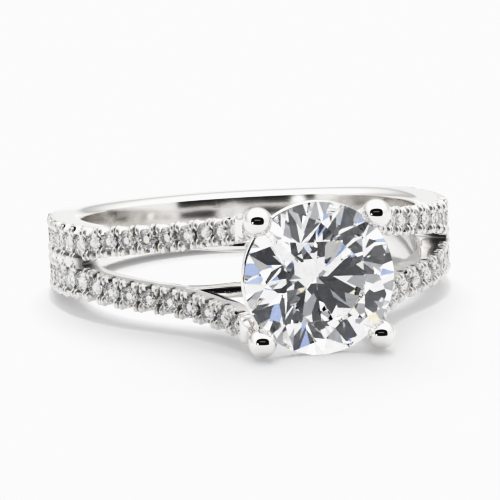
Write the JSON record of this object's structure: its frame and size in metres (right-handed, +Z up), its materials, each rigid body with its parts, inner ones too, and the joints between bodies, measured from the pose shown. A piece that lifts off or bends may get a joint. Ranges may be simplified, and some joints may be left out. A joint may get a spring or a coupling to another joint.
{
  "type": "solitaire engagement ring",
  "caption": "Polished split-shank ring with pave-set arms that rise to ball-tipped prongs around a round brilliant stone.",
  "frame": {"origin": "centre of the ring's box, on the surface that it lies on", "axes": "+Z up from the surface; the stone looks towards -Y, tipped up by about 5 degrees; +X across the finger"},
  "size_m": [0.0204, 0.0264, 0.0075],
  "materials": {
    "white_gold": "polished",
    "diamond": "faceted and clear",
    "pave": "small brilliant stones in bead settings"
  },
  "bodies": {
    "root": {"setting": "white_gold", "centre_stone": "diamond", "pave_left_upper": "pave", "pave_left_lower": "pave", "pave_right_upper": "pave", "pave_right_lower": "pave"}
  },
  "joints": []
}
